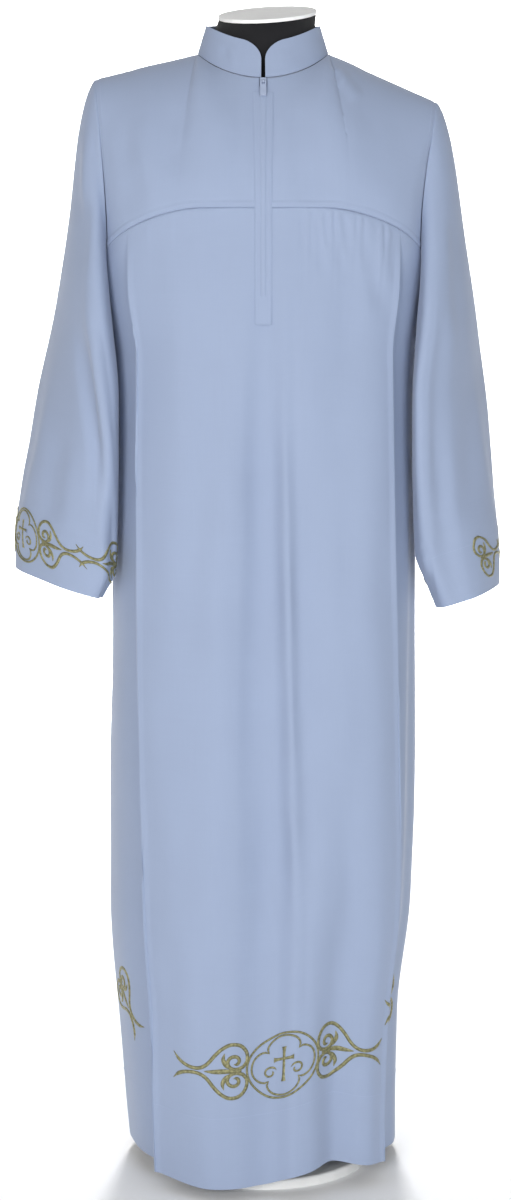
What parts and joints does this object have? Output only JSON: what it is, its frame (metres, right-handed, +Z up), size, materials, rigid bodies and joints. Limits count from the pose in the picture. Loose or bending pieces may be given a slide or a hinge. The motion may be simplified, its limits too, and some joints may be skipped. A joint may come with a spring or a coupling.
{
  "type": "alb robe on a limbless dress form",
  "caption": "Full-length church alb with standing collar, short front zip, gathered yoke seam and wide sleeves, worn by a limbless dress form on a pole and round base.",
  "frame": {"origin": "middle of the stand base's underside", "axes": "+Z up, front of the robe towards -Y, wearer's left towards +X"},
  "size_m": [0.6177, 0.344, 1.4679],
  "materials": {
    "cloth": "plain weave, matte with a faint sheen",
    "zip": "satin enamel",
    "form_cover": "black jersey",
    "neck_cap": "smooth",
    "stand": "powder coated"
  },
  "bodies": {
    "robe": {"skirt_front": "cloth", "skirt_back": "cloth", "yoke_front_left": "cloth", "yoke_front_right": "cloth", "yoke_back": "cloth", "collar": "cloth", "sleeve_left": "cloth", "sleeve_right": "cloth", "front_strip": "cloth", "zip_tape": "cloth", "belt_loop_left": "cloth", "belt_loop_right": "cloth", "zip_slider": "zip", "form_torso": "form_cover", "form_neck_cap": "neck_cap", "stand_pole": "stand", "stand_base": "stand"},
    "pull_tab": {"zip_pull": "zip"}
  },
  "joints": [
    {"name": "pull_tab_swing", "type": "hinge", "parent": "robe", "child": "pull_tab", "pos_m": [0, -0.08416, 1.35638], "axis": [-1, 0, 0], "range_deg": [0, 150]}
  ]
}
